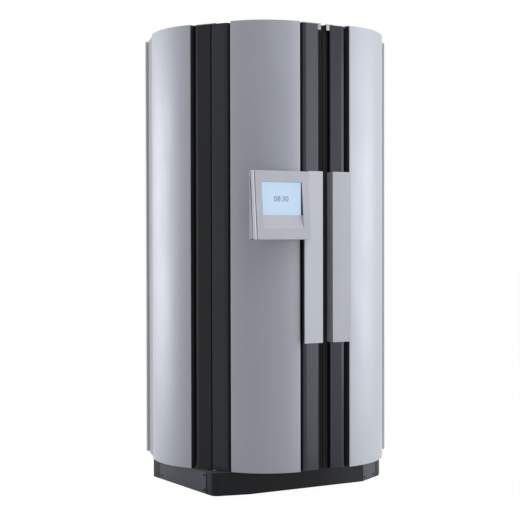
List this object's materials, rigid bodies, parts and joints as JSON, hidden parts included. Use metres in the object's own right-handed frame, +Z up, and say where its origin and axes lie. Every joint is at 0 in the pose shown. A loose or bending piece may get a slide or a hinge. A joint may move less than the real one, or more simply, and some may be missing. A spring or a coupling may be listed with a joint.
{
  "type": "vertical tanning booth",
  "caption": "Walk-in standing tanning booth with curved silver panels, a pair of swing-out lamp doors with pulls, a wedge touch display and a low dark plinth.",
  "frame": {"origin": "on the floor, on the axis of the ring of modules, under the plinth", "axes": "+Z up, -Y out through the doors, +X to the right of someone facing the doors"},
  "size_m": [1.212, 1.246, 2.15],
  "materials": {
    "panel_silver": "satin metallic silver-grey paint",
    "stile_grey": "satin charcoal paint",
    "plinth_black": "satin black paint",
    "plinth_cover": "satin charcoal paint",
    "pull_grey": "satin light grey paint",
    "display_plastic": "fine textured light grey plastic",
    "screen_glass": "pale blue lit touch screen",
    "steel": "brushed",
    "seal": "matt black",
    "mat": "ribbed black",
    "roof": "satin silver-grey paint",
    "fan_plastic": "black",
    "reflector": "bright rolled",
    "lamp": "white phosphor-coated tube",
    "acrylic": "clear acrylic"
  },
  "bodies": {
    "cabin": {"panel_side_left": "panel_silver", "reflector_side_left": "reflector", "lamp_bank_side_left": "lamp", "shield_side_left": "acrylic", "panel_side_right": "panel_silver", "reflector_side_right": "reflector", "lamp_bank_side_right": "lamp", "shield_side_right": "acrylic", "panel_rear_left": "panel_silver", "reflector_rear_left": "reflector", "lamp_bank_rear_left": "lamp", "shield_rear_left": "acrylic", "panel_rear_right": "panel_silver", "reflector_rear_right": "reflector", "lamp_bank_rear_right": "lamp", "shield_rear_right": "acrylic", "panel_rear": "panel_silver", "reflector_rear": "reflector", "lamp_bank_rear": "lamp", "shield_rear": "acrylic", "hinge_post_left": "stile_grey", "corner_post_side_left": "stile_grey", "corner_post_rear_left": "stile_grey", "pivot_lower_left": "steel", "pivot_upper_left": "steel", "hinge_post_right": "stile_grey", "corner_post_side_right": "stile_grey", "corner_post_rear_right": "stile_grey", "pivot_lower_right": "steel", "pivot_upper_right": "steel", "plinth_tray": "plinth_black", "plinth_cover_left": "plinth_cover", "plinth_cover_right": "plinth_cover", "floor_deck": "plinth_cover", "floor_mat": "mat", "roof_deck": "roof", "fan_guard": "fan_plastic", "fan_motor": "steel", "mains_gland": "fan_plastic"},
    "left_door": {"panel_door_left": "panel_silver", "reflector_door_left": "reflector", "lamp_bank_door_left": "lamp", "shield_door_left": "acrylic", "frame_door_left": "stile_grey", "meeting_seal_left": "seal", "pull_left": "pull_grey", "catch_left": "steel", "display_housing": "display_plastic", "display_bezel": "display_plastic", "display_screen": "screen_glass", "display_arm": "stile_grey"},
    "right_door": {"panel_door_right": "panel_silver", "reflector_door_right": "reflector", "lamp_bank_door_right": "lamp", "shield_door_right": "acrylic", "frame_door_right": "stile_grey", "meeting_seal_right": "seal", "pull_right": "pull_grey", "catch_right": "steel"},
    "fan": {"fan_impeller": "fan_plastic"}
  },
  "joints": [
    {"name": "left_door_hinge", "type": "hinge", "parent": "cabin", "child": "left_door", "pos_m": [-0.44915, -0.34934, 1.13], "axis": [0, 0, -1], "range_deg": [0, 100]},
    {"name": "right_door_hinge", "type": "hinge", "parent": "cabin", "child": "right_door", "pos_m": [0.44915, -0.34934, 1.13], "axis": [0, 0, 1], "range_deg": [0, 100]},
    {"name": "fan_spin", "type": "hinge", "parent": "cabin", "child": "fan", "pos_m": [0, 0, 2.122], "axis": [0, 0, 1], "continuous": true}
  ]
}
